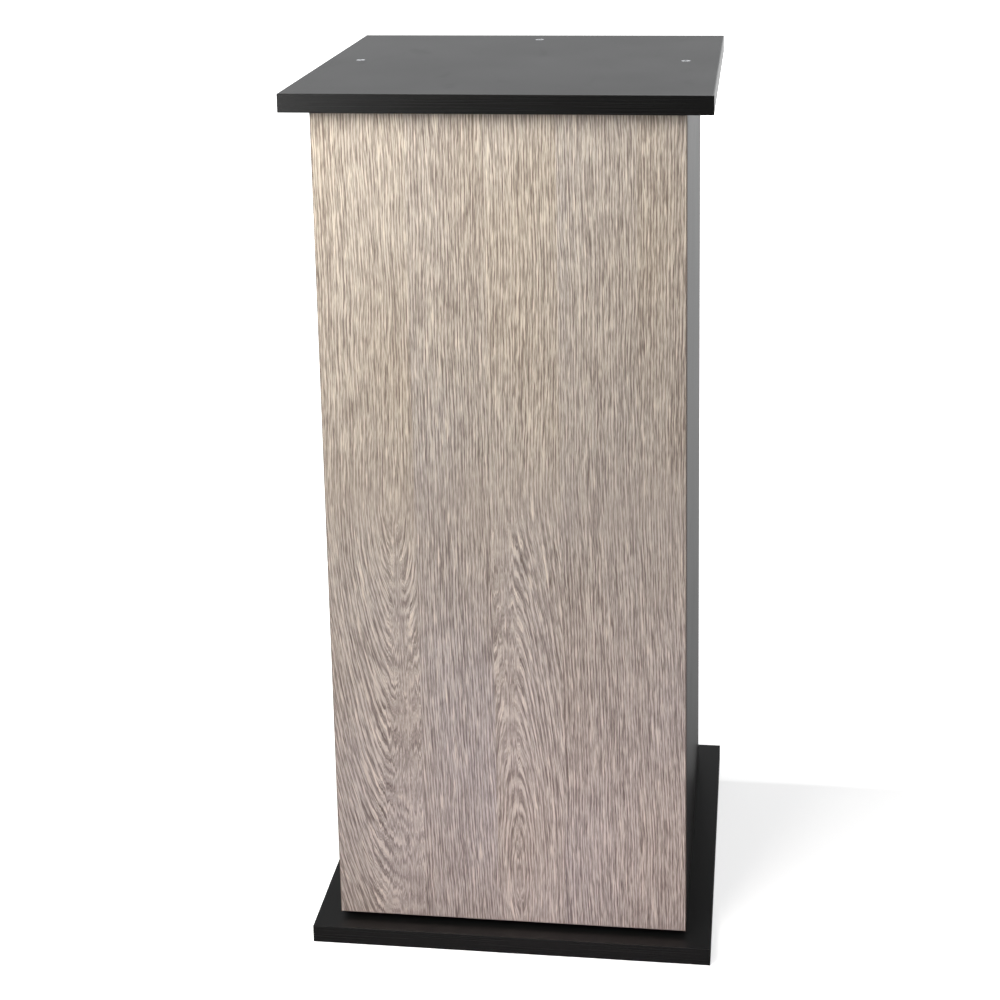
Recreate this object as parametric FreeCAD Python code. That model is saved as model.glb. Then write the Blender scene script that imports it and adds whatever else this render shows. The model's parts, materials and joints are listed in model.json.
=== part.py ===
import FreeCAD, Part
import math
import os
from FreeCAD import Vector

# Aquarium stand cabinet: a square top and base board, two side panels and a back panel between them,
# one full overlay door on two concealed cup hinges, a push latch and one adjustable shelf.
# Millimetres. Origin: centre of the footprint on the floor. +X right, +Y to the back, +Z up. Door at -Y.

# Driving dimensions
BOARD_SIDE = 400.0        # top and base board, square
HEIGHT = 870.0            # floor to tank seat
BOARD = 18.0              # thickness of every board
BODY_WIDTH = 350.0        # outside of the side panels, and the door
BODY_FRONT = -160.0       # front edge of the side panels
BODY_BACK = 180.0         # back edge of the side panels
BACK_PANEL_MIDDLE = 164.0  # middle plane of the back panel
EDGE = 1.0                # edge band on the black boards
EDGE_ROUND = 0.6          # rounded corner of an edge band
SLIP = 0.05               # running clearance on a radius

# Levels and planes that follow from them
BASE_TOP = BOARD
SEAT_UNDERSIDE = HEIGHT - BOARD
HALF_BOARD = BOARD_SIDE / 2
HALF_BODY = BODY_WIDTH / 2
INNER_X = HALF_BODY - BOARD
SIDE_MIDDLE_X = HALF_BODY - BOARD / 2
SIDE_MIDDLE_Y = (BODY_FRONT + BODY_BACK) / 2
BACK_FRONT_Y = BACK_PANEL_MIDDLE - BOARD / 2
BACK_REAR_Y = BACK_PANEL_MIDDLE + BOARD / 2

# Door
DOOR_GAP = 2.0            # door back to side panel edge
DOOR_BOTTOM = BASE_TOP + 5.0
DOOR_TOP = SEAT_UNDERSIDE - 3.0
DOOR_BACK = BODY_FRONT - DOOR_GAP
DOOR_FRONT = DOOR_BACK - BOARD
DOOR_EDGE = 0.8           # edge band on the door

# Assembly screws, dowels and cam fittings
SCREW_LENGTH = 50.0
SCREW_HEAD_RADIUS = 4.6
SCREW_NECK_RADIUS = 3.5
SCREW_CORE_RADIUS = 2.8
SCREW_SOCKET_RADIUS = 2.3
DOWEL_RADIUS = 4.0
DOWEL_LENGTH = 30.0
DOWEL_SPACE = 1.0         # free depth past each dowel end
DOWEL_SHIFT = 3.0         # joint plane to dowel middle, into the panel's end
BACK_DOWEL_SHIFT = 5.0    # the same for the dowels in the back panel's side edges
DOWEL_FROM_SCREW = 110.0  # dowel to screw along a side panel's end
DOWEL_FROM_SCREW_BACK = 96.0
CAM_RADIUS = 7.5
CAM_DEPTH = 12.5
CAM_FROM_EDGE = 24.0
CAM_SLACK = 0.1
CAM_SUNK = 0.3            # cam face below the panel's rear face
CAM_HOLLOW_RADIUS = 4.4
CAM_LEVELS = (118.0, 752.0)
BACK_DOWEL_LEVELS = (182.0, 688.0)
BOLT_RADIUS = 2.5
BOLT_THREAD = 10.0
BOLT_COLLAR = 2.0
BOLT_COLLAR_RADIUS = 3.6
BOLT_HEAD = 3.0
BOLT_HEAD_RADIUS = 3.5
BOLT_CHANNEL_RADIUS = 4.0
TOP_DOWEL_LEVEL = SEAT_UNDERSIDE - DOWEL_SHIFT
BASE_DOWEL_LEVEL = BASE_TOP + DOWEL_SHIFT

# Hose port in the back panel
PORT_RADIUS = 30.0
PORT_LEVEL = 735.0
GROMMET_WALL = 3.0
GROMMET_LIP = 5.0
GROMMET_LIP_THICKNESS = 2.0

# Shelf and its pins
SHELF_FRONT = -135.0
SHELF_SIDE_GAP = 1.0
PIN_RADIUS = 2.5
PIN_DEPTH = 9.0
PIN_FRONT_Y = BODY_FRONT + 52.0
PIN_REAR_Y = BODY_BACK - 80.0
PIN_PITCH = 32.0
PIN_ROW_HALF = 2          # spare holes above and below the used one
PIN_LEVEL = 425.0
TAB_LENGTH = 11.0
TAB_WIDTH = 10.0
TAB_THICKNESS = 2.0

# Concealed hinges, in plan. The links stand on the inner face of the left side panel.
HINGE_LEVELS = (DOOR_BOTTOM + 100.0, DOOR_TOP - 100.0)
ARM_PIVOT = Vector(-INNER_X + 18.9, BODY_FRONT + 2.0, 0)
CUP_PIVOT = Vector(-INNER_X - 7.7, BODY_FRONT - 3.7, 0)
INNER_PIVOT = Vector(-INNER_X + 15.0, BODY_FRONT + 10.0, 0)
INNER_TIP = Vector(-INNER_X + 0.2, BODY_FRONT - 3.5, 0)
HINGE_PIN_RADIUS = 1.2
EYE_RADIUS = 2.4
ARM_EYE_RADIUS = 2.6
CUP_RADIUS = 17.5
CUP_DEPTH = 12.5
CUP_SHEET = 0.8
CUP_X = -INNER_X + 5.0
CUP_SCREW_X = CUP_X + 9.5
CUP_SCREW_HALF = 22.5
CUP_WING_MARGIN = 6.0     # flange past its screws, up and down
CUP_WING_REACH = 9.0      # flange past its screws, away from the edge
CUP_LUG_DEPTH = 5.5
CUP_LUG_REACH = 6.0
ARM_HALF_WIDTH = 8.2
ARM_SHEET = 1.2
OUTER_LINK_HALF = 6.2
INNER_LINK_HALF = 4.0
PLATE_Y = BODY_FRONT + 37.0
PLATE_SCREW_HALF = 16.0
PLATE_SHEET = 1.6
PLATE_BLOCK_HEIGHT = 7.5
PLATE_BLOCK_HALF = 6.6
ARM_SCREW_RADIUS = 2.2
ARM_SCREW_HEAD = 1.6
ARM_SCREW_LENGTH = 9.0
ARM_SCREWS = ((37.0, 3.2), (52.0, 3.8))  # distance behind the panel's front edge, head radius

# Push latch on the inner face of the right side panel
LATCH_LEVEL = 780.0
LATCH_X = INNER_X - 8.0
LATCH_FRONT = BODY_FRONT + 5.0
LATCH_LENGTH = 60.0
LATCH_HALF = 6.5
LATCH_SCREW_Y = LATCH_FRONT + 30.0
LATCH_SCREW_HALF = 13.0
EAR_SHEET = 3.0
EAR_HALF = 18.0
PLUNGER_RADIUS = 4.0
PLUNGER_LENGTH = 46.0
PLUNGER_TIP = BODY_FRONT - 0.6
MAGNET_LENGTH = 3.0
SPRING_WIRE = 0.45
SPRING_RADIUS = 3.0
SPRING_TURNS = 7
SPRING_GAP = 0.2          # clear space at each end of the spring
STRIKE_SIZE = 18.0
STRIKE_THICKNESS = 1.0
STRIKE_X = LATCH_X - 1.0
STRIKE_TAIL = 8.0         # strike below its square part, for the screw
STRIKE_SCREW_DROP = 12.0
LATCH_END_WALL = 3.0      # housing behind the bore

UP = Vector(0, 0, 1)
DOWN = Vector(0, 0, -1)
RIGHT = Vector(1, 0, 0)
LEFT = Vector(-1, 0, 0)
FORWARD = Vector(0, -1, 0)


def block(x0, x1, y0, y1, z0, z1):
    return Part.makeBox(x1 - x0, y1 - y0, z1 - z0, Vector(x0, y0, z0))


def rod(radius, start, end):
    return Part.makeCylinder(radius, (end - start).Length, start, end - start)


def cone(radius_start, radius_end, start, end):
    return Part.makeCone(radius_start, radius_end, (end - start).Length, start, end - start)


def plate(points, z0, z1):
    """A flat plate with this plan outline, from z0 to z1."""
    corners = [Vector(p.x, p.y, z0) for p in points]
    face = Part.Face(Part.makePolygon(corners + corners[:1]))
    return face.extrude(Vector(0, 0, z1 - z0))


def cut(shape, tools):
    for tool in tools:
        shape = shape.cut(tool)
    return shape


def union(shapes):
    return shapes[0].multiFuse(shapes[1:]).removeSplitter()


def group(shapes):
    """Several separate pieces of one kind."""
    solids = [solid for shape in shapes for solid in shape.Solids]
    return Part.makeCompound(solids)


def round_corners(sheet, axis, radius):
    """Rounds the four corners of a thin rectangular sheet that lies square to axis."""
    corners = [e for e in sheet.Edges if abs((e.Vertexes[1].Point - e.Vertexes[0].Point)[axis]) > 0.1]
    return sheet.makeFillet(radius, corners)


def round_long_edges(shape, axis, outside, radius=EDGE_ROUND):
    """Rounds the edges that run along axis (0, 1 or 2) and lie on the outside (a test of a point)."""
    chosen = []
    for edge in shape.Edges:
        start, end = edge.Vertexes[0].Point, edge.Vertexes[-1].Point
        run = [abs(end[i] - start[i]) for i in range(3)]
        if run[axis] > 5.0 and sum(run) - run[axis] < 1e-6 and outside(start):
            chosen.append(edge)
    return shape.makeFillet(radius, chosen)


# Fasteners. Each "solid" form is also the tool that makes its exact hole.

def assembly_screw(head, direction, socket=True):
    """A connecting screw with a countersunk head. It goes from its head's face along direction."""
    neck_start, core_start = 3.0, 14.0
    parts = [
        cone(SCREW_HEAD_RADIUS, SCREW_NECK_RADIUS, head, head + direction * neck_start),
        rod(SCREW_NECK_RADIUS, head + direction * neck_start, head + direction * core_start),
        rod(SCREW_CORE_RADIUS, head + direction * core_start, head + direction * (SCREW_LENGTH - 4)),
        cone(SCREW_CORE_RADIUS, 0.8, head + direction * (SCREW_LENGTH - 4), head + direction * SCREW_LENGTH),
    ]
    screw = union(parts)
    if socket:
        turns = [math.radians(60 * i) for i in range(7)]
        corners = [head + Vector(math.cos(t), math.sin(t), 0) * SCREW_SOCKET_RADIUS for t in turns]
        screw = screw.cut(Part.Face(Part.makePolygon(corners)).extrude(direction * neck_start))
    return screw


def wood_screw(head, direction, head_radius, radius, length, recess=True):
    """A small countersunk screw with a cross recess. It goes from its head's face along direction."""
    neck = head + direction * (head_radius - radius)
    screw = union([cone(head_radius, radius, head, neck), rod(radius, neck, head + direction * length)])
    if recess:
        across = UP.cross(direction)
        ways = (across, direction.cross(across))
        screw = cut(screw, [bar(head, direction, way, head_radius) for way in ways])
    return screw


def bar(head, direction, along, reach, width=0.7, depth=1.2):
    """One bar of a cross recess: a thin block sunk into a screw head."""
    half = along.normalize() * (reach * 0.6)
    side = direction.cross(along).normalize() * (width / 2)
    corners = [head - half - side, head + half - side, head + half + side, head - half + side]
    return Part.Face(Part.makePolygon(corners + corners[:1])).extrude(direction * depth)


def dowel(middle, axis):
    """A fluted-dowel blank with chamfered ends."""
    half = axis * (DOWEL_LENGTH / 2)
    tip = axis * 1.5
    return union([
        cone(DOWEL_RADIUS - 1.0, DOWEL_RADIUS, middle - half, middle - half + tip),
        rod(DOWEL_RADIUS, middle - half + tip, middle + half - tip),
        cone(DOWEL_RADIUS, DOWEL_RADIUS - 1.0, middle + half - tip, middle + half),
    ])


def dowel_hole(middle, axis):
    half = axis * (DOWEL_LENGTH / 2 + DOWEL_SPACE)
    return rod(DOWEL_RADIUS, middle - half, middle + half)


def screw_points():
    """Plan positions of the screws: the middle of each side panel's end, and of the back panel's."""
    return [
        Vector(-SIDE_MIDDLE_X, SIDE_MIDDLE_Y, 0),
        Vector(SIDE_MIDDLE_X, SIDE_MIDDLE_Y, 0),
        Vector(0, BACK_PANEL_MIDDLE, 0),
    ]


def dowel_points():
    """Plan positions of the dowels that locate the three panels in the top and base boards."""
    left, right, back = screw_points()
    along_side = Vector(0, DOWEL_FROM_SCREW, 0)
    along_back = Vector(DOWEL_FROM_SCREW_BACK, 0, 0)
    return [p + s for p, s in (
        (left, along_side), (left, -along_side), (right, along_side), (right, -along_side),
        (back, along_back), (back, -along_back))]


def at_level(points, z):
    return [Vector(p.x, p.y, z) for p in points]


def top_screws(socket=True):
    return [assembly_screw(p, DOWN, socket) for p in at_level(screw_points(), HEIGHT)]


def base_screws(socket=True):
    return [assembly_screw(p, UP, socket) for p in at_level(screw_points(), 0)]


def end_dowels(make, z):
    return [make(p, UP) for p in at_level(dowel_points(), z)]


def back_dowels(make):
    """Dowels between the back panel's side edges and the side panels."""
    return [make(Vector(side * (INNER_X - BACK_DOWEL_SHIFT), BACK_PANEL_MIDDLE, z), RIGHT)
            for side in (-1, 1) for z in BACK_DOWEL_LEVELS]


# Cam fittings between the back panel and the side panels

def cam_centre(side, z):
    return Vector(side * (INNER_X - CAM_FROM_EDGE), BACK_REAR_Y, z)


def cam_pocket(side, z):
    face = cam_centre(side, z)
    return rod(CAM_RADIUS, face, face - Vector(0, CAM_DEPTH, 0))


def cam_lock(side, z):
    """An eccentric cam in its pocket, with a hollow for the bolt's head and a cross drive."""
    face = cam_centre(side, z) + FORWARD * CAM_SUNK
    cam = rod(CAM_RADIUS - CAM_SLACK, face, face + FORWARD * (CAM_DEPTH - 0.5))
    middle = Vector(face.x, BACK_PANEL_MIDDLE, z)
    hollow = rod(CAM_HOLLOW_RADIUS, middle - RIGHT * side * BOLT_HEAD, middle + RIGHT * side * CAM_RADIUS)
    drive = [bar(face, FORWARD, along, 5.5, width=1.4, depth=2.2) for along in (RIGHT, UP)]
    return cut(cam, [hollow] + drive)


def cam_bolt_parts(side, z):
    """Threaded end in the side panel, collar, shank and head, from the side panel inwards."""
    out = Vector(side, 0, 0)
    face = Vector(side * INNER_X, BACK_PANEL_MIDDLE, z)
    thread = rod(BOLT_RADIUS, face, face + out * BOLT_THREAD)
    collar = rod(BOLT_COLLAR_RADIUS, face, face - out * BOLT_COLLAR)
    head_start = face - out * (CAM_FROM_EDGE - 2)
    shank = rod(BOLT_RADIUS, face, head_start)
    head = rod(BOLT_HEAD_RADIUS, head_start, head_start - out * BOLT_HEAD)
    return [thread, shank, collar, head]


def cam_bolt_channel(side, z):
    face = Vector(side * INNER_X, BACK_PANEL_MIDDLE, z)
    return rod(BOLT_CHANNEL_RADIUS, face, face - Vector(side * CAM_FROM_EDGE, 0, 0))


def each_cam(make):
    return [make(side, z) for side in (-1, 1) for z in CAM_LEVELS]


# Boards

def banded_board(z0, z1):
    """A square board's core and its four edge bands, rounded along the outside."""
    core_half = HALF_BOARD - EDGE
    core = block(-core_half, core_half, -core_half, core_half, z0, z1)
    bands = []
    for side in (-1, 1):
        low, high = sorted((side * core_half, side * HALF_BOARD))
        across = block(-HALF_BOARD, HALF_BOARD, low, high, z0, z1)
        bands.append(round_long_edges(across, 0, lambda p, s=side: abs(p.y - s * HALF_BOARD) < 1e-6))
        along = block(low, high, -core_half, core_half, z0, z1)
        bands.append(round_long_edges(along, 1, lambda p, s=side: abs(p.x - s * HALF_BOARD) < 1e-6))
    return core, bands


def top_board():
    core = banded_board(SEAT_UNDERSIDE, HEIGHT)[0]
    return cut(core, top_screws(socket=False) + end_dowels(dowel_hole, TOP_DOWEL_LEVEL))


def base_board():
    core = banded_board(0, BASE_TOP)[0]
    return cut(core, base_screws(socket=False) + end_dowels(dowel_hole, BASE_DOWEL_LEVEL))


def side_panel(side):
    """One side panel's core, drilled for dowels, screws, cam bolts, shelf pins and hardware."""
    x0, x1 = sorted((side * INNER_X, side * HALF_BODY))
    core = block(x0, x1, BODY_FRONT + EDGE, BODY_BACK - EDGE, BASE_TOP, SEAT_UNDERSIDE)
    drilled = top_screws(False) + base_screws(False) + back_dowels(dowel_hole)
    drilled += end_dowels(dowel_hole, TOP_DOWEL_LEVEL) + end_dowels(dowel_hole, BASE_DOWEL_LEVEL)
    drilled += [cam_bolt_parts(side, z)[0] for z in CAM_LEVELS]
    drilled += [pin_hole(side, y, z) for y in (PIN_FRONT_Y, PIN_REAR_Y) for z in pin_levels()]
    drilled += hinge_plate_screws(recess=False) if side < 0 else latch_screws(recess=False)
    return cut(core, drilled)


def side_edge_bands(side):
    """The bands on a side panel's front and back edges."""
    x0, x1 = sorted((side * INNER_X, side * HALF_BODY))
    bands = []
    for face, inner in ((BODY_FRONT, BODY_FRONT + EDGE), (BODY_BACK, BODY_BACK - EDGE)):
        band = block(x0, x1, min(face, inner), max(face, inner), BASE_TOP, SEAT_UNDERSIDE)
        bands.append(round_long_edges(band, 2, lambda p, f=face: abs(p.y - f) < 1e-6))
    return group(bands)


def back_panel():
    core = block(-INNER_X, INNER_X, BACK_FRONT_Y, BACK_REAR_Y, BASE_TOP, SEAT_UNDERSIDE)
    drilled = top_screws(False) + base_screws(False) + back_dowels(dowel_hole)
    drilled += end_dowels(dowel_hole, TOP_DOWEL_LEVEL) + end_dowels(dowel_hole, BASE_DOWEL_LEVEL)
    drilled += each_cam(cam_pocket) + each_cam(cam_bolt_channel)
    drilled.append(port_rod(PORT_RADIUS, BACK_FRONT_Y - 1, BACK_REAR_Y + 1))
    return cut(core, drilled)


def port_rod(radius, y0, y1):
    return rod(radius, Vector(0, y0, PORT_LEVEL), Vector(0, y1, PORT_LEVEL))


def hose_grommet():
    """A plastic liner in the port, with a lip on the back panel's rear face."""
    sleeve = port_rod(PORT_RADIUS, BACK_FRONT_Y, BACK_REAR_Y + GROMMET_LIP_THICKNESS)
    lip = port_rod(PORT_RADIUS + GROMMET_LIP, BACK_REAR_Y, BACK_REAR_Y + GROMMET_LIP_THICKNESS)
    liner = union([sleeve, lip])
    return liner.cut(port_rod(PORT_RADIUS - GROMMET_WALL, BACK_FRONT_Y - 1, BACK_REAR_Y + 5))


# Shelf

def pin_levels():
    return [PIN_LEVEL + PIN_PITCH * i for i in range(-PIN_ROW_HALF, PIN_ROW_HALF + 1)]


def pin_hole(side, y, z):
    face = Vector(side * INNER_X, y, z)
    return rod(PIN_RADIUS, face, face + Vector(side * (PIN_DEPTH + 1), 0, 0))


def shelf_pin(side, y):
    """A shelf support: a round pin in the panel, a collar and a flat tab under the shelf."""
    face = Vector(side * INNER_X, y, PIN_LEVEL)
    out = Vector(side, 0, 0)
    pin = rod(PIN_RADIUS, face - out * 1.5, face + out * PIN_DEPTH)
    collar = rod(PIN_RADIUS + 1.5, face, face - out * 1.5)
    x0, x1 = sorted((face.x, face.x - side * TAB_LENGTH))
    tab_top = PIN_LEVEL + PIN_RADIUS + 1.5
    tab = block(x0, x1, y - TAB_WIDTH / 2, y + TAB_WIDTH / 2, tab_top - TAB_THICKNESS, tab_top)
    rib = block(x0, x1, y - 1, y + 1, PIN_LEVEL - 2, tab_top - TAB_THICKNESS)
    return union([pin, collar, tab, rib])


def shelf_span():
    """The shelf's box: its lowest and highest corner."""
    bottom = PIN_LEVEL + PIN_RADIUS + 1.5
    half = INNER_X - SHELF_SIDE_GAP
    return Vector(-half, SHELF_FRONT, bottom), Vector(half, BACK_FRONT_Y - 2, bottom + BOARD)


def shelf_board():
    low, high = shelf_span()
    return block(low.x, high.x, low.y + EDGE, high.y, low.z, high.z)


def shelf_edge_band():
    low, high = shelf_span()
    band = block(low.x, high.x, low.y, low.y + EDGE, low.z, high.z)
    return round_long_edges(band, 0, lambda p: abs(p.y - low.y) < 1e-6)


# Door

def door_board():
    """The door's core, bored for the hinge cups and drilled for their screws and the strike's."""
    core = block(-HALF_BODY + DOOR_EDGE, HALF_BODY - DOOR_EDGE, DOOR_FRONT, DOOR_BACK,
                 DOOR_BOTTOM + DOOR_EDGE, DOOR_TOP - DOOR_EDGE)
    pockets = [cup_rod(CUP_RADIUS, z, -CUP_DEPTH) for z in HINGE_LEVELS]
    return cut(core, pockets + hinge_cup_screws(recess=False) + [strike_screw(recess=False)])


def door_edge_bands():
    z0, z1 = DOOR_BOTTOM, DOOR_TOP
    bands = []
    for side in (-1, 1):
        x0, x1 = sorted((side * HALF_BODY, side * (HALF_BODY - DOOR_EDGE)))
        upright = block(x0, x1, DOOR_FRONT, DOOR_BACK, z0, z1)
        bands.append(round_long_edges(upright, 2, lambda p, s=side: abs(p.x - s * HALF_BODY) < 1e-6, 0.5))
    inner = HALF_BODY - DOOR_EDGE
    for low, high, face in ((z0, z0 + DOOR_EDGE, z0), (z1 - DOOR_EDGE, z1, z1)):
        level = block(-inner, inner, DOOR_FRONT, DOOR_BACK, low, high)
        bands.append(round_long_edges(level, 0, lambda p, f=face: abs(p.z - f) < 1e-6, 0.5))
    return group(bands)


# Hinges. Each maker takes the height of the hinge's middle.

def cup_rod(radius, z, inner, outer=0.0):
    """A cylinder on the cup's axis, from inner to outer, both counted from the door's back face."""
    return rod(radius, Vector(CUP_X, DOOR_BACK + inner, z), Vector(CUP_X, DOOR_BACK + outer, z))


def hinge_cup(z):
    """The pressed cup in the door, its flange wings on the door's back, and two lugs for the pin."""
    floor = CUP_SHEET - CUP_DEPTH
    wing_half = CUP_SCREW_HALF + CUP_WING_MARGIN
    wing = block(CUP_X - 1, CUP_SCREW_X + CUP_WING_REACH, DOOR_BACK, DOOR_BACK + CUP_SHEET,
                 z - wing_half, z + wing_half)
    wing = round_corners(wing, 1, 4.0)
    hollow = cup_rod(CUP_RADIUS - CUP_SHEET, z, floor, 2.0)
    cup = union([cup_rod(CUP_RADIUS, z, -CUP_DEPTH), wing]).cut(hollow)
    inside = cup_rod(CUP_RADIUS - CUP_SHEET / 2, z, CUP_SHEET / 2 - CUP_DEPTH)
    lug_start = OUTER_LINK_HALF + 0.8
    for low, high in ((z - CUP_RADIUS, z - lug_start), (z + lug_start, z + CUP_RADIUS)):
        lug = block(CUP_PIVOT.x - CUP_LUG_REACH, CUP_PIVOT.x + EYE_RADIUS,
                    DOOR_BACK - CUP_LUG_DEPTH, DOOR_BACK, low, high)
        cup = cup.fuse(lug.common(inside))
    holes = hinge_cup_screws(recess=False) + [cup_pin(z)]
    return cut(cup, holes).removeSplitter()


def cup_pin(z):
    half = Vector(0, 0, OUTER_LINK_HALF + 3.6)
    middle = CUP_PIVOT + Vector(0, 0, z)
    return rod(HINGE_PIN_RADIUS, middle - half, middle + half)


def hinge_cup_screws(recess=True):
    heads = [Vector(CUP_SCREW_X, DOOR_BACK + CUP_SHEET, z + s * CUP_SCREW_HALF)
             for z in HINGE_LEVELS for s in (-1, 1)]
    return [wood_screw(head, FORWARD, 3.4, 1.7, 13.0, recess) for head in heads]


def bowed_link(z0, z1):
    """One cheek of the outer link: an eye at each pivot and a bar bowed away from the side panel."""
    along = (ARM_PIVOT - CUP_PIVOT).normalize()
    right = along.cross(UP)
    bow_near, bow_far = 0.2, 3.2
    bar_points = [
        CUP_PIVOT - right * bow_near, CUP_PIVOT + right * EYE_RADIUS,
        CUP_PIVOT + along * 5 + right * bow_far, ARM_PIVOT - along * 5 + right * bow_far,
        ARM_PIVOT + right * EYE_RADIUS, ARM_PIVOT - right * bow_near,
    ]
    shapes = [plate(bar_points, z0, z1)]
    for pivot in (CUP_PIVOT, ARM_PIVOT):
        shapes.append(rod(EYE_RADIUS, pivot + UP * z0, pivot + UP * z1))
    link = union(shapes)
    return cut(link, [pivot_hole(p, z0, z1) for p in (CUP_PIVOT, ARM_PIVOT)])


def pivot_hole(pivot, z0, z1):
    """A running hole for a hinge pin, through a link that spans z0 to z1."""
    return rod(HINGE_PIN_RADIUS + SLIP, pivot + UP * (z0 - 1), pivot + UP * (z1 + 1))


def hinge_outer_links():
    cheeks = []
    for z in HINGE_LEVELS:
        cheeks.append(bowed_link(z + OUTER_LINK_HALF - ARM_SHEET, z + OUTER_LINK_HALF))
        cheeks.append(bowed_link(z - OUTER_LINK_HALF, z - OUTER_LINK_HALF + ARM_SHEET))
    return group(cheeks)


def hinge_inner_link(z):
    """The short inner link: an eye on the arm and a rounded tip that reaches into the cup's mouth."""
    z0, z1 = z - INNER_LINK_HALF, z + INNER_LINK_HALF
    along = (INNER_TIP - INNER_PIVOT).normalize()
    side = along.cross(UP) * 1.4
    shapes = [plate([INNER_PIVOT + side, INNER_PIVOT - side, INNER_TIP - side, INNER_TIP + side], z0, z1)]
    shapes.append(rod(EYE_RADIUS, INNER_PIVOT + UP * z0, INNER_PIVOT + UP * z1))
    shapes.append(rod(1.4, INNER_TIP + UP * z0, INNER_TIP + UP * z1))
    return union(shapes).cut(pivot_hole(INNER_PIVOT, z0, z1))


def arm_point(u, v):
    """A point of the arm in plan: u from the side panel's inner face, v back from its front edge."""
    return Vector(-INNER_X + u, BODY_FRONT + v, 0)


def hinge_arm(z):
    """A pressed steel arm: two cheeks joined by a web, high at the pivots and low at the screws."""
    nose = ARM_PIVOT.x + INNER_X + ARM_EYE_RADIUS
    tail, low, inside = 62, 11, ARM_SHEET
    outline = [(2, 26), (2, tail), (low, tail), (low, 30), (nose, 17), (nose, 2),
               (16.3, 2), (11.8, 9), (10, 15)]
    web_outline = [(low, tail), (low, 30), (nose, 17), (nose, 13), (nose - inside, 13),
                   (nose - inside, 16.5), (low - inside, 29.5), (low - inside, tail)]
    cheeks = []
    for z0 in (z - ARM_HALF_WIDTH, z + ARM_HALF_WIDTH - ARM_SHEET):
        cheeks.append(plate([arm_point(u, v) for u, v in outline], z0, z0 + ARM_SHEET))
        for pivot in (ARM_PIVOT, INNER_PIVOT):
            cheeks.append(rod(ARM_EYE_RADIUS, pivot + UP * z0, pivot + UP * (z0 + ARM_SHEET)))
    web = plate([arm_point(u, v) for u, v in web_outline], z - ARM_HALF_WIDTH, z + ARM_HALF_WIDTH)
    arm = union(cheeks + [web])
    return cut(arm, hinge_arm_pins_at(z) + arm_screws_at(z, recess=False))


def hinge_arm_pins_at(z):
    half = Vector(0, 0, ARM_HALF_WIDTH + 0.4)
    return [rod(HINGE_PIN_RADIUS, p + UP * z - half, p + UP * z + half) for p in (ARM_PIVOT, INNER_PIVOT)]


def arm_screws_at(z, recess=True):
    """The arm's fixing screw and its side adjusting screw, heads on the web, ends in the plate's block."""
    screws = []
    for v, head_radius in ARM_SCREWS:
        head = arm_point(12.6, v) + UP * z
        body = union([rod(head_radius, head, head + LEFT * ARM_SCREW_HEAD),
                      rod(ARM_SCREW_RADIUS, head, head + LEFT * ARM_SCREW_LENGTH)])
        if recess:
            body = cut(body, [bar(head, LEFT, along, head_radius, width=0.9) for along in (FORWARD, UP)])
        screws.append(body)
    return screws


def hinge_plate(z):
    """A wing plate on the side panel with a raised block that the arm straddles."""
    wing_half = PLATE_SCREW_HALF + 7
    wings = block(-INNER_X, -INNER_X + PLATE_SHEET, PLATE_Y - 8, PLATE_Y + 8, z - wing_half, z + wing_half)
    raised = block(-INNER_X, -INNER_X + PLATE_BLOCK_HEIGHT, BODY_FRONT + 28, BODY_FRONT + 60,
                   z - PLATE_BLOCK_HALF, z + PLATE_BLOCK_HALF)
    solid = union([wings, raised])
    return cut(solid, hinge_plate_screws(recess=False) + arm_screws_at(z, recess=False))


def hinge_plate_screws(recess=True):
    heads = [Vector(-INNER_X + PLATE_SHEET, PLATE_Y, z + s * PLATE_SCREW_HALF)
             for z in HINGE_LEVELS for s in (-1, 1)]
    return [wood_screw(head, LEFT, 3.6, 2.2, 13.0, recess) for head in heads]


# Push latch

def latch_rod(radius, y0, y1):
    return rod(radius, Vector(LATCH_X, y0, LATCH_LEVEL), Vector(LATCH_X, y1, LATCH_LEVEL))


def latch_rear():
    return LATCH_FRONT + LATCH_LENGTH


def latch_housing():
    """The latch's body: a rounded barrel on a foot that is screwed to the side panel."""
    barrel = latch_rod(LATCH_HALF, LATCH_FRONT, latch_rear())
    z0, z1 = LATCH_LEVEL - LATCH_HALF, LATCH_LEVEL + LATCH_HALF
    foot = block(LATCH_X, INNER_X, LATCH_FRONT + 2, latch_rear(), z0, z1)
    ears = block(INNER_X - EAR_SHEET, INNER_X, LATCH_SCREW_Y - 12, LATCH_SCREW_Y + 12,
                 LATCH_LEVEL - EAR_HALF, LATCH_LEVEL + EAR_HALF)
    shell = union([barrel, foot, ears])
    bore = latch_rod(PLUNGER_RADIUS + SLIP, LATCH_FRONT - 1, latch_rear() - LATCH_END_WALL)
    return cut(shell, [bore] + latch_screws(recess=False))


def latch_screws(recess=True):
    heads = [Vector(INNER_X - EAR_SHEET, LATCH_SCREW_Y, LATCH_LEVEL + s * LATCH_SCREW_HALF) for s in (-1, 1)]
    return [wood_screw(head, RIGHT, 3.2, 1.6, 15.0, recess) for head in heads]


def latch_plunger():
    """The plunger, with a seat for the magnet in its tip and a collar seat for the spring behind."""
    rear = PLUNGER_TIP + PLUNGER_LENGTH
    body = latch_rod(PLUNGER_RADIUS, PLUNGER_TIP, rear)
    seat = latch_rod(PLUNGER_RADIUS - 1, PLUNGER_TIP - 1, PLUNGER_TIP + MAGNET_LENGTH)
    return body.cut(seat)


def plunger_magnet():
    return latch_rod(PLUNGER_RADIUS - 1, PLUNGER_TIP - 0.2, PLUNGER_TIP + MAGNET_LENGTH)


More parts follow.
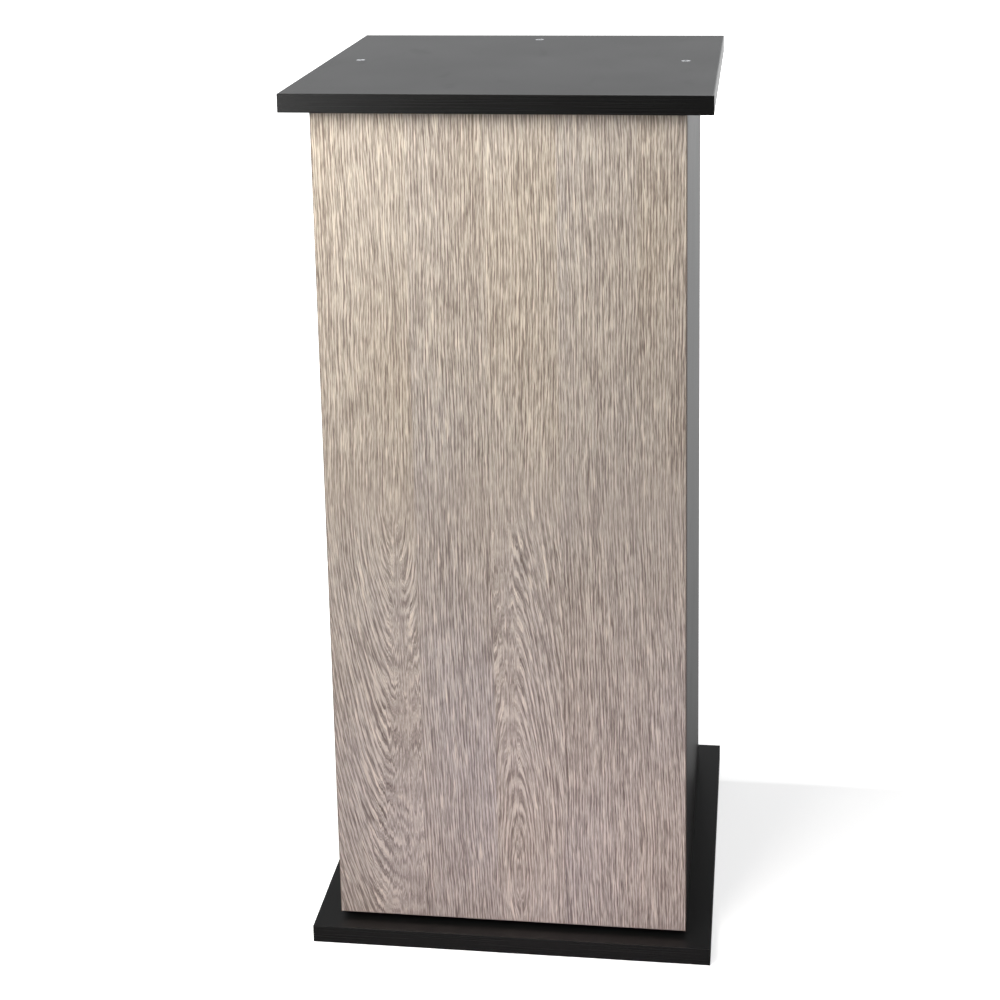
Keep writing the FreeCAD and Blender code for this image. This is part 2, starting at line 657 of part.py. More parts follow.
def latch_spring():
    """The closed coil spring between the plunger and the end of the housing's bore."""
    margin = SPRING_WIRE + SPRING_GAP
    start = PLUNGER_TIP + PLUNGER_LENGTH + margin
    free = latch_rear() - LATCH_END_WALL - margin - start
    helix = Part.makeHelix(free / SPRING_TURNS, free, SPRING_RADIUS)
    ring = Part.Wire(Part.makeCircle(SPRING_WIRE, Vector(SPRING_RADIUS, 0, 0), Vector(0, 1, 0)))
    coil = Part.Wire(helix).makePipeShell([ring], True, True)
    coil.rotate(Vector(0, 0, 0), Vector(1, 0, 0), -90)
    coil.translate(Vector(LATCH_X, start, LATCH_LEVEL))
    return coil


def strike_plate():
    half = STRIKE_SIZE / 2
    sheet = block(STRIKE_X - half, STRIKE_X + half, DOOR_BACK, DOOR_BACK + STRIKE_THICKNESS,
                  LATCH_LEVEL - half - STRIKE_TAIL, LATCH_LEVEL + half)
    return round_corners(sheet, 1, 3.0).cut(strike_screw(recess=False))


def strike_screw(recess=True):
    head = Vector(STRIKE_X, DOOR_BACK + STRIKE_THICKNESS, LATCH_LEVEL - STRIKE_SCREW_DROP)
    return wood_screw(head, FORWARD, 2.8, 1.4, 12.0, recess)


def pieces():
    """Every node's name and shape."""
    nodes = {
        "top_board": top_board(),
        "top_edge_bands": group(banded_board(SEAT_UNDERSIDE, HEIGHT)[1]),
        "base_board": base_board(),
        "base_edge_bands": group(banded_board(0, BASE_TOP)[1]),
        "back_panel": back_panel(),
        "hose_grommet": hose_grommet(),
        "top_screws": group(top_screws()),
        "base_screws": group(base_screws()),
        "top_dowels": group(end_dowels(dowel, TOP_DOWEL_LEVEL)),
        "base_dowels": group(end_dowels(dowel, BASE_DOWEL_LEVEL)),
        "back_dowels": group(back_dowels(dowel)),
        "cam_locks": group(each_cam(cam_lock)),
        "cam_bolts": group([union(cam_bolt_parts(side, z)) for side in (-1, 1) for z in CAM_LEVELS]),
        "shelf_board": shelf_board(),
        "shelf_edge_band": shelf_edge_band(),
        "shelf_pins": group([shelf_pin(side, y) for side in (-1, 1) for y in (PIN_FRONT_Y, PIN_REAR_Y)]),
        "door_board": door_board(),
        "door_edge_bands": door_edge_bands(),
        "hinge_outer_links": hinge_outer_links(),
        "hinge_inner_links": group([hinge_inner_link(z) for z in HINGE_LEVELS]),
        "hinge_cup_pins": group([cup_pin(z) for z in HINGE_LEVELS]),
        "hinge_cup_screws": group(hinge_cup_screws()),
        "hinge_arm_pins": group([pin for z in HINGE_LEVELS for pin in hinge_arm_pins_at(z)]),
        "hinge_arm_screws": group([screw for z in HINGE_LEVELS for screw in arm_screws_at(z)]),
        "hinge_plate_screws": group(hinge_plate_screws()),
        "latch_housing": latch_housing(),
        "latch_screws": group(latch_screws()),
        "latch_plunger": latch_plunger(),
        "plunger_magnet": plunger_magnet(),
        "latch_spring": latch_spring(),
        "strike_plate": strike_plate(),
        "strike_screw": strike_screw(),
    }
    for side, name in ((-1, "left"), (1, "right")):
        nodes["side_panel_" + name] = side_panel(side)
        nodes["side_edge_bands_" + name] = side_edge_bands(side)
    for z, name in zip(HINGE_LEVELS, ("lower", "upper")):
        nodes["hinge_cup_" + name] = hinge_cup(z)
        nodes["hinge_arm_" + name] = hinge_arm(z)
        nodes["hinge_plate_" + name] = hinge_plate(z)
    return nodes


os.makedirs("parts", exist_ok=True)
for node, shape in pieces().items():
    shape.exportStep(os.path.join("parts", node + ".step"))
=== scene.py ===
import bpy
import json
import math
from mathutils import Matrix, Vector

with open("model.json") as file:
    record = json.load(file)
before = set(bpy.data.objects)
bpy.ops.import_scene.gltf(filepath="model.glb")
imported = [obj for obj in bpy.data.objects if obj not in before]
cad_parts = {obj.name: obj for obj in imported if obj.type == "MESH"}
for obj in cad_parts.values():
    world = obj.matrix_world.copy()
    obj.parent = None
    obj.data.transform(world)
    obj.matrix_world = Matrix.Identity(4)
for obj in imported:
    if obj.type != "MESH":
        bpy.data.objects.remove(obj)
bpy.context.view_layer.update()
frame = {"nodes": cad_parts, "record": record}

# The aquarium stand cabinet's looks. Every CAD node keeps its mesh and gets a procedural material from its
# record slot. The rest is a plain studio: a pale floor, soft light and the camera. Lengths are in metres,
# angles in radians and the power of the lamps in watts.


# ---------------------------------------------------------------- node helpers

# The places of the colour sockets among all the sockets of a Mix node
MIX_A, MIX_B, MIX_RESULT = 6, 7, 2


class Nodes:
    """A material's node tree, with short calls for the nodes used below."""

    def __init__(self, name):
        self.material = bpy.data.materials.new(name)
        self.material.use_nodes = True
        self.tree = self.material.node_tree
        self.tree.nodes.clear()
        output = self.tree.nodes.new("ShaderNodeOutputMaterial")
        self.shader = self.tree.nodes.new("ShaderNodeBsdfPrincipled")
        self.tree.links.new(self.shader.outputs["BSDF"], output.inputs["Surface"])
        self.place = self.tree.nodes.new("ShaderNodeTexCoord").outputs["Object"]

    def put(self, value, socket):
        """Links an output to the socket, or sets a plain value on it."""
        if isinstance(value, bpy.types.NodeSocket):
            self.tree.links.new(value, socket)
        else:
            socket.default_value = value

    def math(self, operation, a, b=0.0, c=0.0, clamp=False):
        """One step of arithmetic on up to three numbers."""
        node = self.tree.nodes.new("ShaderNodeMath")
        node.operation = operation
        node.use_clamp = clamp
        for value, socket in zip((a, b, c), node.inputs):
            self.put(value, socket)
        return node.outputs[0]

    def split(self, vector=None):
        """The three parts of a vector or colour, or of the place on the object."""
        node = self.tree.nodes.new("ShaderNodeSeparateXYZ")
        self.put(vector or self.place, node.inputs[0])
        return node.outputs

    def join(self, x, y, z):
        """A vector from three numbers."""
        node = self.tree.nodes.new("ShaderNodeCombineXYZ")
        for value, socket in zip((x, y, z), node.inputs):
            self.put(value, socket)
        return node.outputs[0]

    def stretch(self, vector, scale):
        """The vector with each axis scaled on its own. A noise runs along the axis that is scaled least."""
        node = self.tree.nodes.new("ShaderNodeVectorMath")
        node.operation = "MULTIPLY"
        self.put(vector, node.inputs[0])
        node.inputs[1].default_value = scale
        return node.outputs[0]

    def noise(self, vector, scale=1.0, detail=2.0, roughness=0.5, distortion=0.0):
        """Fractal noise around 0.5, with scale in features per unit of the vector."""
        node = self.tree.nodes.new("ShaderNodeTexNoise")
        self.put(vector, node.inputs["Vector"])
        node.inputs["Scale"].default_value = scale
        node.inputs["Detail"].default_value = detail
        node.inputs["Roughness"].default_value = roughness
        node.inputs["Distortion"].default_value = distortion
        return node.outputs["Fac"]

    def ramp(self, value, stops, constant=False):
        """A colour looked up in stops: (position, colour) pairs, a colour being three linear numbers."""
        node = self.tree.nodes.new("ShaderNodeValToRGB")
        self.put(value, node.inputs[0])
        ramp = node.color_ramp
        ramp.interpolation = "CONSTANT" if constant else "LINEAR"
        while len(ramp.elements) < len(stops):
            ramp.elements.new(0.5)
        for element, (position, colour) in zip(ramp.elements, stops):
            element.position = position
            element.color = (*colour, 1.0)
        return node.outputs[0]

    def span(self, value, low, high, to_low=0.0, to_high=1.0):
        """The range from low to high mapped to the range from to_low to to_high, and held at its ends."""
        node = self.tree.nodes.new("ShaderNodeMapRange")
        self.put(value, node.inputs[0])
        for socket, number in zip(node.inputs[1:5], (low, high, to_low, to_high)):
            self.put(number, socket)
        return node.outputs[0]

    def mix(self, share_of_b, a, b):
        """A colour between a and b."""
        node = self.tree.nodes.new("ShaderNodeMix")
        node.data_type = "RGBA"
        self.put(share_of_b, node.inputs["Factor"])
        for value, socket in ((a, node.inputs[MIX_A]), (b, node.inputs[MIX_B])):
            self.put(value if isinstance(value, bpy.types.NodeSocket) else (*value, 1.0), socket)
        return node.outputs[MIX_RESULT]

    def blend(self, share_of_b, a, b):
        """A number between a and b."""
        return self.math("ADD", a, self.math("MULTIPLY", self.math("SUBTRACT", b, a), share_of_b))

    def weigh(self, *terms):
        """The sum of value times weight."""
        total = 0.0
        for value, weight in terms:
            total = self.math("MULTIPLY_ADD", value, weight, total)
        return total

    def bump(self, height, depth, strength):
        """Relief in the surface's light from a height of 0 to 1 that stands for depth."""
        node = self.tree.nodes.new("ShaderNodeBump")
        node.inputs["Strength"].default_value = strength
        node.inputs["Distance"].default_value = depth
        self.put(height, node.inputs["Height"])
        self.put(node.outputs[0], self.shader.inputs["Normal"])

    def finish(self, colour, roughness, metallic=0.0, specular=0.5):
        """Sets the shader's main values and gives the finished material."""
        for name, value in (("Base Color", colour), ("Roughness", roughness), ("Metallic", metallic),
                            ("Specular IOR Level", specular)):
            self.put(value, self.shader.inputs[name])
        return self.material


def srgb(red, green, blue):
    """A linear colour from 0-255 display values, by the sRGB standard's formula."""
    parts = [c / 255 for c in (red, green, blue)]
    return tuple(c / 12.92 if c <= 0.04045 else ((c + 0.055) / 1.055) ** 2.4 for c in parts)


# ---------------------------------------------------------------- black boards and bands

def black_melamine():
    """Black melamine facing: a fine pearl emboss, slightly uneven sheen and a few faint rub marks."""
    n = Nodes("black_melamine")
    pearl = n.noise(n.place, scale=2600.0, detail=3.0, roughness=0.6)
    cloud = n.noise(n.place, scale=9.0, detail=3.0)
    rub = n.noise(n.stretch(n.place, (30.0, 14.0, 22.0)), detail=5.0, roughness=0.65, distortion=0.8)
    marks = n.span(rub, 0.60, 0.78)
    tone = n.mix(cloud, srgb(14, 14, 14), srgb(18, 18, 18))
    tone = n.mix(n.math("MULTIPLY", pearl, 0.30), tone, srgb(28, 28, 29))
    rough = n.math("ADD", n.span(cloud, 0.3, 0.7, 0.365, 0.385), n.math("MULTIPLY", marks, 0.03))
    n.bump(pearl, depth=0.00008, strength=0.35)
    return n.finish(tone, rough)


def black_edging():
    """ABS edge band: smoother than the boards, with faint scraper lines along it."""
    scrapes_along, scrapes_across = 6.0, 1500.0
    n = Nodes("black_edging")
    x, y, z = n.split()
    along = n.math("MULTIPLY", n.math("ADD", x, y), scrapes_along)
    scrape = n.noise(n.join(along, 0.0, n.math("MULTIPLY", z, scrapes_across)))
    cloud = n.noise(n.place, scale=14.0, detail=3.0)
    tone = n.mix(cloud, srgb(13, 13, 13), srgb(17, 17, 17))
    n.bump(scrape, depth=0.00003, strength=0.3)
    return n.finish(tone, n.span(scrape, 0.3, 0.7, 0.22, 0.29))


# ---------------------------------------------------------------- the door's oak decor

DECOR_X0, DECOR_X1 = -0.176, 0.176
# One row per stave of the decor: left edge and the figure's middle (metres across the door), height of the
# figure's eye, how fast the figure opens above and below it, lightness and warmth
STAVES = (
    (-0.176, -0.107, 0.480, 0.190, 0.58, 0.62),
    (-0.087, -0.250, 1.350, 0.020, 0.44, 0.42),
    (-0.013, 0.009, 0.080, 0.125, 0.60, 0.58),
    (0.054, 0.240, -0.400, 0.020, 0.46, 0.45),
    (0.128, 0.280, 0.450, 0.030, 0.50, 0.50),
)
# A stave's values pass through colour ramps as shares of these ranges. Its seed comes from its left edge
MIDDLE_RANGE = (-0.3, 0.3)
EYE_RANGE = (-0.5, 1.5)
OPENING_RANGE = (0.0, 0.2)
SEED_RANGE = (0.0, 13.0)
SEEDS_PER_METRE = 37.0

# How the grain sways from side to side: features per metre across and along the door, and the reach
WANDER = (7.0, 2.6, 0.014)
RIPPLE = (30.0, 14.0, 0.004)
FEATHER = (520.0, 16.0, 0.060)

# A figure's lean per metre of height, the height where figures stop, and how softly they do
FIGURE_LEAN = 0.03
FIGURE_TOP = 0.46
FIGURE_TOP_SOFTNESS = 0.10
FIGURE_FADE = (FIGURE_TOP - 0.04, FIGURE_TOP + 0.06)
# Steepness is 0 in the middle of a figure and nears 1 far out on its flanks. Over the first range the tips'
# feathering fades, and over the second the share of the curved grain grows
TIP_STEEPNESS = (0.10, 0.55)
FLANK_STEEPNESS = (0.0, 0.40)
CURVED_SHARE = (0.45, 1.0)
# The smallest distance to divide by, and how fast the noise changes from a figure's middle to its sides
SMALLEST_DISTANCE = 0.001
SEED_DRIFT = 20.0

# Each kind of stroke: its place in the noise, its fineness across and its shortness along the grain
GROWTH = (11.0, 250.0, 1.5)
ROW = (3.0, 345.0, 4.5)
FIBRE = (0.0, 880.0, 34.0)
FINE = (5.0, 1300.0, 90.0)
PORE = (9.0, 950.0, 34.0)
LIME = (17.0, 900.0, 36.0)
HAIR = (27.0, 2300.0, 34.0)
# How far the spacing of evenly spaced strokes drifts: its fineness against theirs, and the turn it adds
DRIFT_FINENESS, DRIFT_TURN = 0.45, 11.0

# Dark to light oak, in warm and in grey patches of so many features per metre across and along the door
WARM_OAK = ((0.0, srgb(124, 109, 99)), (0.45, srgb(168, 155, 142)), (1.0, srgb(212, 201, 184)))
GREY_OAK = ((0.0, srgb(114, 104, 101)), (0.45, srgb(158, 148, 143)), (1.0, srgb(200, 192, 184)))
PATCHES = (9.0, 3.0)
# The summed strokes that give the darkest and the lightest oak
TONE_LIMITS = (0.405, 0.595)
# The weight of the strokes in the oak's lightness, and that of its stave and patch together around their mean
STROKE_WEIGHT = 0.8
STAVE_WEIGHT, STAVE_MEAN = 0.35, 0.8
# How the oak's greyness follows the patches
GREY_SLOPE, GREY_START = 1.8, 0.1
# Strokes drawn over the oak: the noise at a stroke's edge and core, its strength and its colour
PORE_LINES = (0.44, 0.34, 0.60, srgb(92, 78, 71))
LIME_LINES = (0.56, 0.66, 0.55, srgb(232, 220, 204))
HAIR_LINES = (0.42, 0.34, 0.45, srgb(96, 84, 77))


def share(value, limits):
    """Where a value lies between two limits, from 0 to 1."""
    low, high = limits
    return (value - low) / (high - low)


def stave_values(n, x):
    """Values that stay constant along each stave, looked up from the distance across the door."""
    figure_stops, tone_stops = [], []
    for left, middle, eye, opening, light, warm in STAVES:
        at = max(0.0, share(left, (DECOR_X0, DECOR_X1)))
        figure_stops.append((at, (share(middle, MIDDLE_RANGE), share(eye, EYE_RANGE),
                                  share(opening, OPENING_RANGE))))
        tone_stops.append((at, (light, warm, (left * SEEDS_PER_METRE) % 1.0)))
    across = n.span(x, DECOR_X0, DECOR_X1)
    figure = n.split(n.ramp(across, figure_stops, constant=True))
    tone = n.split(n.ramp(across, tone_stops, constant=True))
    middle, eye, opening = (n.span(value, 0.0, 1.0, *limits) for value, limits
                            in zip(figure, (MIDDLE_RANGE, EYE_RANGE, OPENING_RANGE)))
    return middle, eye, opening, tone[0], tone[1], n.span(tone[2], 0.0, 1.0, *SEED_RANGE)


def patches(n, x, z, seed, across, along):
    """Noise over the door's face, with so many features per metre across and along it."""
    return n.noise(n.join(n.math("MULTIPLY", x, across), seed, n.math("MULTIPLY", z, along)))


def sway(n, x, z, seed, across, along, reach):
    """A length around zero that varies over the door's face, by up to half the reach to either side."""
    value = patches(n, x, z, seed, across, along)
    return n.math("MULTIPLY", n.math("SUBTRACT", value, 0.5), reach)


class Grain:
    """The run of the grain over the door: straight along the middle of a figure, and along its flanks
    following the contours of the tilted heart of the log."""

    def __init__(self, n, x, z, middle, eye, opening, seed):
        self.n, self.z = n, z
        shift = n.math("ADD", sway(n, x, z, seed, *WANDER), sway(n, x, z, seed, *RIPPLE))
        self.straight = n.math("ADD", x, shift)
        lean = n.math("MULTIPLY", n.math("SUBTRACT", eye, z), FIGURE_LEAN)
        side = n.math("SUBTRACT", self.straight, n.math("ADD", middle, lean))
        level = n.math("SMOOTH_MIN", z, FIGURE_TOP, FIGURE_TOP_SOFTNESS)
        rise = n.math("MULTIPLY", n.math("SUBTRACT", eye, level), opening)
        distance = n.math("MAXIMUM", self.distance(side, rise), SMALLEST_DISTANCE)
        steepness = n.math("DIVIDE", n.math("ABSOLUTE", side), distance)
        tip = n.span(steepness, *TIP_STEEPNESS, 1.0, 0.0)
        # Neighbouring fibres end at different heights, which feathers the tips of the figure
        feather = n.math("MULTIPLY", sway(n, x, z, seed, *FEATHER), tip)
        self.ring = self.distance(side, n.math("MULTIPLY_ADD", feather, opening, rise))
        figured = n.span(z, *FIGURE_FADE, 1.0, 0.0)
        self.flank = n.math("MULTIPLY", n.span(steepness, *FLANK_STEEPNESS, *CURVED_SHARE), figured)
        self.seed = n.math("MULTIPLY_ADD", side, SEED_DRIFT, seed)

    def distance(self, side, rise):
        """The distance from the heart of the log, from the distances to its side and above it."""
        n = self.n
        return n.math("SQRT", n.math("MULTIPLY_ADD", side, side, n.math("MULTIPLY", rise, rise)))

    def lines(self, across, offset, fineness, shortness):
        """Irregular lines along the grain, from the distance across it."""
        n = self.n
        place = n.join(n.math("MULTIPLY", across, fineness), n.math("ADD", self.seed, offset),
                       n.math("MULTIPLY", self.z, shortness))
        return n.noise(place, roughness=0.55)

    def waves(self, across, offset, fineness, shortness):
        """Evenly spaced lines whose spacing drifts a little along and across the grain."""
        n = self.n
        drift = self.lines(across, offset, DRIFT_FINENESS * fineness, shortness)
        phase = n.weigh((across, math.tau * fineness), (drift, DRIFT_TURN))
        return n.span(n.math("SINE", phase), -1.0, 1.0)

    def strokes(self, offset, fineness, shortness, pattern=None):
        """Strokes along the grain: fineness across it and shortness along it, both per metre."""
        pattern = pattern or self.lines
        straight = pattern(self.straight, offset, fineness, shortness)
        curved = pattern(self.ring, offset, fineness, shortness)
        return self.n.blend(self.flank, straight, curved)


def draw_lines(n, colour, strokes, edge, core, strength, line_colour):
    """The colour with lines drawn over it, and how deep each place lies in a line."""
    line = n.span(strokes, edge, core)
    return n.mix(n.math("MULTIPLY", line, strength), colour, line_colour), line


def oak_decor():
    """Grey limed oak in staves: faint flame figures drawn by short pore strokes and lime strokes."""
    n = Nodes("oak_decor")
    x, _, z = n.split()
    middle, eye, opening, light, warm, seed = stave_values(n, x)
    grain = Grain(n, x, z, middle, eye, opening, seed)
    row = grain.strokes(*ROW, grain.waves)
    growth, fibre, fine, pore, lime, hair = (grain.strokes(*kind) for kind
                                             in (GROWTH, FIBRE, FINE, PORE, LIME, HAIR))
    patch = patches(n, x, z, seed, *PATCHES)

    tone = n.span(n.weigh((growth, 0.13), (row, 0.12), (fibre, 0.37), (fine, 0.38)), *TONE_LIMITS)
    stave_tone = n.math("SUBTRACT", n.math("ADD", light, patch), STAVE_MEAN)
    lightness = n.math("ADD", n.math("MULTIPLY", tone, STROKE_WEIGHT),
                       n.math("MULTIPLY", stave_tone, STAVE_WEIGHT))
    greyness = n.math("SUBTRACT", n.math("MULTIPLY_ADD", patch, GREY_SLOPE, GREY_START), warm, clamp=True)
    colour = n.mix(greyness, n.ramp(lightness, WARM_OAK), n.ramp(lightness, GREY_OAK))
    colour, pore_line = draw_lines(n, colour, pore, *PORE_LINES)
    colour, _ = draw_lines(n, colour, lime, *LIME_LINES)
    colour, hair_line = draw_lines(n, colour, hair, *HAIR_LINES)
    relief = n.weigh((fine, 0.4), (pore_line, -0.6), (hair_line, -0.6))
    n.bump(relief, depth=0.00010, strength=0.5)
    return n.finish(colour, n.span(pore_line, 0.0, 1.0, 0.50, 0.66), specular=0.3)


def oak_edging():
    """The door's edge band: the same decor family, darker, with fine lines along its length."""
    n = Nodes("oak_edging")
    line = n.noise(n.stretch(n.place, (900.0, 900.0, 9.0)), detail=3.0)
    colour = n.ramp(line, ((0.3, srgb(92, 80, 73)), (0.7, srgb(140, 124, 113))))
    n.bump(line, depth=0.00005, strength=0.4)
    return n.finish(colour, 0.5, specular=0.4)


# ---------------------------------------------------------------- fittings

def steel(name, colour, roughness):
    """Plated steel: faint rolled or turned marks and a mottled plating tone. The plating scatters part of
    the light, so that it doesn't go black in the dark of the cabinet."""
    n = Nodes(name)
    marks = n.noise(n.stretch(n.place, (1600.0, 1600.0, 60.0)), detail=3.0, roughness=0.6)
    mottle = n.span(n.noise(n.place, scale=300.0, detail=3.0), 0.35, 0.65)
    darker = tuple(0.92 * part for part in colour)
    rough = n.math("ADD", n.span(marks, 0.3, 0.7, -0.02, 0.03), roughness)
    n.bump(marks, depth=0.000002, strength=0.08)
    return n.finish(n.mix(mottle, darker, colour), rough, metallic=0.6, specular=0.6)


def plastic(name, colour, roughness):
    """Moulded plastic with a fine spark-eroded texture."""
    n = Nodes(name)
    spark = n.noise(n.place, scale=3200.0)
    cloud = n.noise(n.place, scale=60.0)
    darker = tuple(0.8 * part for part in colour)
    n.bump(spark, depth=0.00006, strength=0.35)
    rough = n.span(cloud, 0.3, 0.7, roughness - 0.04, roughness + 0.05)
    return n.finish(n.mix(cloud, darker, colour), rough)


def beech():
    """Plain beech: short dark flecks along the dowel."""
    n = Nodes("beech")
    fibre = n.noise(n.stretch(n.place, (700.0, 700.0, 60.0)), detail=3.0)
    fleck = n.span(n.noise(n.stretch(n.place, (1800.0, 1800.0, 260.0))), 0.60, 0.72)
    colour = n.ramp(fibre, ((0.3, srgb(184, 140, 98)), (0.7, srgb(222, 184, 142))))
    colour = n.mix(n.math("MULTIPLY", fleck, 0.5), colour, srgb(130, 88, 58))
    n.bump(fibre, depth=0.00006, strength=0.5)
    return n.finish(colour, 0.62)


MATERIALS = {
    "black_melamine": black_melamine(),
    "black_edging": black_edging(),
    "oak_decor": oak_decor(),
    "oak_edging": oak_edging(),
    "nickel_steel": steel("nickel_steel", srgb(226, 224, 219), roughness=0.26),
    "zinc_screw": steel("zinc_screw", srgb(222, 225, 230), roughness=0.24),
    "zinc_casting": steel("zinc_casting", srgb(190, 191, 194), roughness=0.42),
    "beech": beech(),
    "black_plastic": plastic("black_plastic", srgb(34, 34, 35), roughness=0.48),
    "grey_plastic": plastic("grey_plastic", srgb(158, 159, 161), roughness=0.42),
    "spring_steel": steel("spring_steel", srgb(205, 206, 209), roughness=0.22),
    "magnet": steel("magnet", srgb(165, 165, 168), roughness=0.3),
}


def dress_cad_nodes():
    """Every CAD node gets its slot's material."""
    for part in frame["record"]["subparts"]:
        node = frame["nodes"][part["node"]]
        node.data.materials.clear()
        node.data.materials.append(MATERIALS[part["material_slot"]])


dress_cad_nodes()


# ---------------------------------------------------------------- studio

# The floor's glow to the camera grows with the distance from the object's middle, over these metres
GLOW_RADIUS = (1.0, 5.0)
GLOW_LIMITS = (0.70, 1.0)
# The floor's light on the object starts this far back and grows along a curve, fast at first
BEHIND_LIMITS = (0.15, 5.0)
BEHIND_CURVE, BEHIND_STRENGTH = 0.3, 0.99

# A reflected direction's y between which the world goes from front to back, and its z between which it goes
# from the horizon's band to the light above
BACK_LIMITS = (-0.5, 0.6)
ABOVE_LIMITS = (0.22, 0.48)
WHITE_TO_CAMERA = 1.05

# Lamps for matt surfaces: name, place, target, width and height, power and colour
SOFT_LAMPS = (
    ("key", (-0.37, -0.82, 1.14), (0.0, -0.18, 0.76), (0.6, 0.6), 12.9, (1.0, 0.985, 0.93)),
    ("low_fill", (0.06, -0.60, 0.08), (0.06, -0.18, 0.08), (0.36, 0.12), 1.0, (0.96, 0.83, 0.98)),
)
# White panels that only show in glossy surfaces, all aimed at one target: name, place, size and power
PANEL_TARGET = (0.0, -0.1, 0.7)
PANELS = (
    ("left_panel", (-1.75, -3.05, 0.50), (1.2, 1.0), 20.0),
    ("high_left", (-1.70, -2.20, 2.40), (1.2, 1.6), 25.0),
    ("high_right", (2.20, -1.80, 2.00), (1.2, 1.6), 12.0),
    ("overhead", (0.0, -0.30, 3.00), (2.2, 2.2), 25.0),
    ("rear_left", (-2.40, 1.60, 1.80), (1.0, 2.0), 25.0),
)

CAMERA_PLACE = Vector((0.2427, -1.8518, 1.1479))
CAMERA_YAW, CAMERA_PITCH, CAMERA_ROLL = 0.1249, 0.2083, -0.0158
# In millimetres
SENSOR_WIDTH, LENS_LENGTH = 36.0, 67.34
LENS_SHIFTS = {"shift_x": -0.0322, "shift_y": -0.3249}
PLACE_TOLERANCE = 0.0005


def stage_material():
    """White to the camera, whitest far away; in reflections it is dim in front and bright behind."""
    n = Nodes("stage_white")
    x, y, _ = n.split()
    seen = n.tree.nodes.new("ShaderNodeLightPath").outputs["Is Camera Ray"]
    speck = n.noise(n.place, scale=40.0)
    white = n.mix(speck, (0.90, 0.90, 0.90), (0.93, 0.93, 0.93))
    radius = n.math("SQRT", n.math("MULTIPLY_ADD", x, x, n.math("MULTIPLY", y, y)))
    glow = n.math("MULTIPLY", seen, n.span(radius, *GLOW_RADIUS, *GLOW_LIMITS))
    behind = n.math("POWER", n.span(y, *BEHIND_LIMITS), BEHIND_CURVE)
    n.put((1.0, 1.0, 1.0, 1.0), n.shader.inputs["Emission Color"])
    n.put(n.weigh((glow, 1.0), (behind, BEHIND_STRENGTH)), n.shader.inputs["Emission Strength"])
    return n.finish(n.mix(seen, (0.30, 0.30, 0.30), white), 0.7, specular=0.0)


def floor(half):
    """A square floor that reaches half its width to each side of the object."""
    mesh = bpy.data.meshes.new("stage_floor")
    corners = [(-half, -half, 0), (half, -half, 0), (half, half, 0), (-half, half, 0)]
    mesh.from_pydata(corners, [], [(0, 1, 2, 3)])
    mesh.materials.append(stage_material())
    plane = bpy.data.objects.new("stage_floor", mesh)
    bpy.context.scene.collection.objects.link(plane)


def softbox(name, place, target, size, power, colour, mirrored=False):
    """An area lamp that either lights the matt surfaces or, mirrored, only shows in the glossy ones."""
    lamp = bpy.data.lights.new(name, "AREA")
    lamp.shape = "RECTANGLE"
    lamp.size, lamp.size_y = size
    lamp.energy = power
    lamp.color = colour
    box = bpy.data.objects.new(name, lamp)
    box.location = place
    box.rotation_euler = (Vector(target) - Vector(place)).to_track_quat("-Z", "Y").to_euler()
    box.visible_camera = False
    box.visible_glossy = mirrored
    box.visible_diffuse = not mirrored
    bpy.context.scene.collection.objects.link(box)


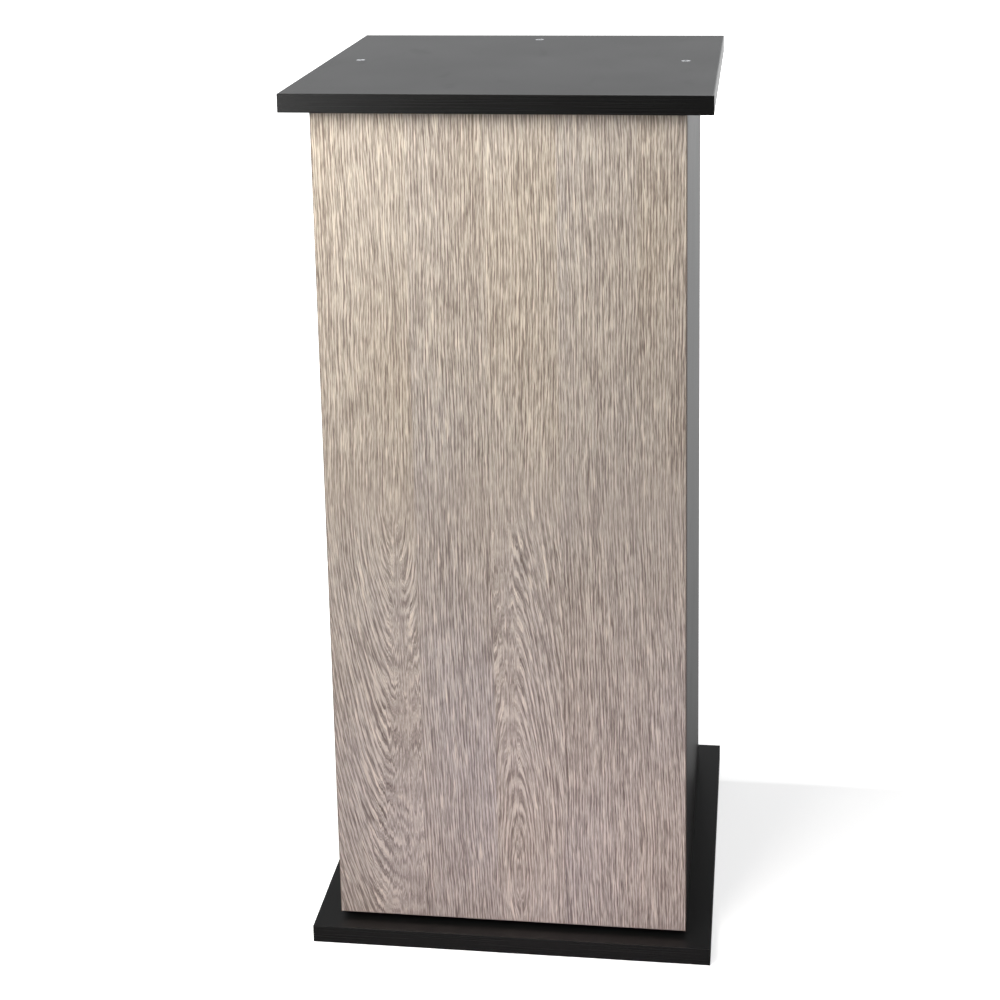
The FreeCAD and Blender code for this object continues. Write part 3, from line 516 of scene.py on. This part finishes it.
def surroundings(front, back, above, ambient):
    """The world: white to the camera, an even ambient light to matt surfaces, and to glossy ones a band along
    the horizon, dim in front and bright behind, with less light above it."""
    world = bpy.data.worlds.new("studio")
    world.use_nodes = True
    tree = world.node_tree
    direction = tree.nodes.new("ShaderNodeSeparateXYZ")
    tree.links.new(tree.nodes.new("ShaderNodeTexCoord").outputs["Generated"], direction.inputs[0])
    ray = tree.nodes.new("ShaderNodeLightPath").outputs

    def ease(source, limits, start, end):
        """From start to end, smoothly, as the source goes from one limit to the other."""
        node = tree.nodes.new("ShaderNodeMapRange")
        node.interpolation_type = "SMOOTHSTEP"
        for socket, value in zip(node.inputs, (source, *limits, start, end)):
            if isinstance(value, bpy.types.NodeSocket):
                tree.links.new(value, socket)
            else:
                socket.default_value = value
        return node.outputs[0]

    _, depth, height = direction.outputs
    band = ease(depth, BACK_LIMITS, front, back)
    strength = ease(height, ABOVE_LIMITS, band, above)
    for kind, level in (("Is Diffuse Ray", ambient), ("Is Camera Ray", WHITE_TO_CAMERA)):
        strength = ease(ray[kind], (0.0, 1.0), strength, level)
    background = tree.nodes["Background"].inputs
    tree.links.new(strength, background["Strength"])
    background["Color"].default_value = (0.98, 0.99, 1.0, 1.0)
    bpy.context.scene.world = world


def camera():
    """A camera in front, a little to the right and above, whose shifted lens nearly keeps verticals."""
    lens = bpy.data.cameras.new("camera")
    lens.sensor_width, lens.lens = SENSOR_WIDTH, LENS_LENGTH
    lens.clip_start, lens.clip_end = 0.1, 60.0
    eye = bpy.data.objects.new("camera", lens)
    level = math.pi / 2
    turn = (Matrix.Rotation(CAMERA_YAW, 4, "Z") @ Matrix.Rotation(level - CAMERA_PITCH, 4, "X")
            @ Matrix.Rotation(CAMERA_ROLL, 4, "Z"))
    eye.matrix_world = Matrix.Translation(CAMERA_PLACE) @ turn
    bpy.context.scene.collection.objects.link(eye)
    bpy.context.scene.camera = eye
    for path, shift in LENS_SHIFTS.items():
        shift_only_from_place(eye, lens, path, shift)


def shift_only_from_place(eye, lens, path, shift):
    """The lens shift holds while the camera stands at its own place, and is zero once it is moved."""
    driver = lens.driver_add(path).driver
    driver.type = "SCRIPTED"
    variable = driver.variables.new()
    variable.name = "height"
    variable.type = "TRANSFORMS"
    variable.targets[0].id = eye
    variable.targets[0].transform_type = "LOC_Z"
    variable.targets[0].transform_space = "WORLD_SPACE"
    at_place = f"abs(height - {CAMERA_PLACE.z:.5f}) < {PLACE_TOLERANCE}"
    driver.expression = f"{shift:.5f} if {at_place} else 0.0"


floor(half=14.0)
surroundings(front=0.16, back=1.05, above=0.05, ambient=0.22)
for name, place, target, size, power, colour in SOFT_LAMPS:
    softbox(name, place, target, size, power, colour)
for name, place, size, power in PANELS:
    softbox(name, place, PANEL_TARGET, size, power, (1.0, 1.0, 1.0), mirrored=True)
camera()
bpy.context.scene.view_settings.view_transform = "Standard"
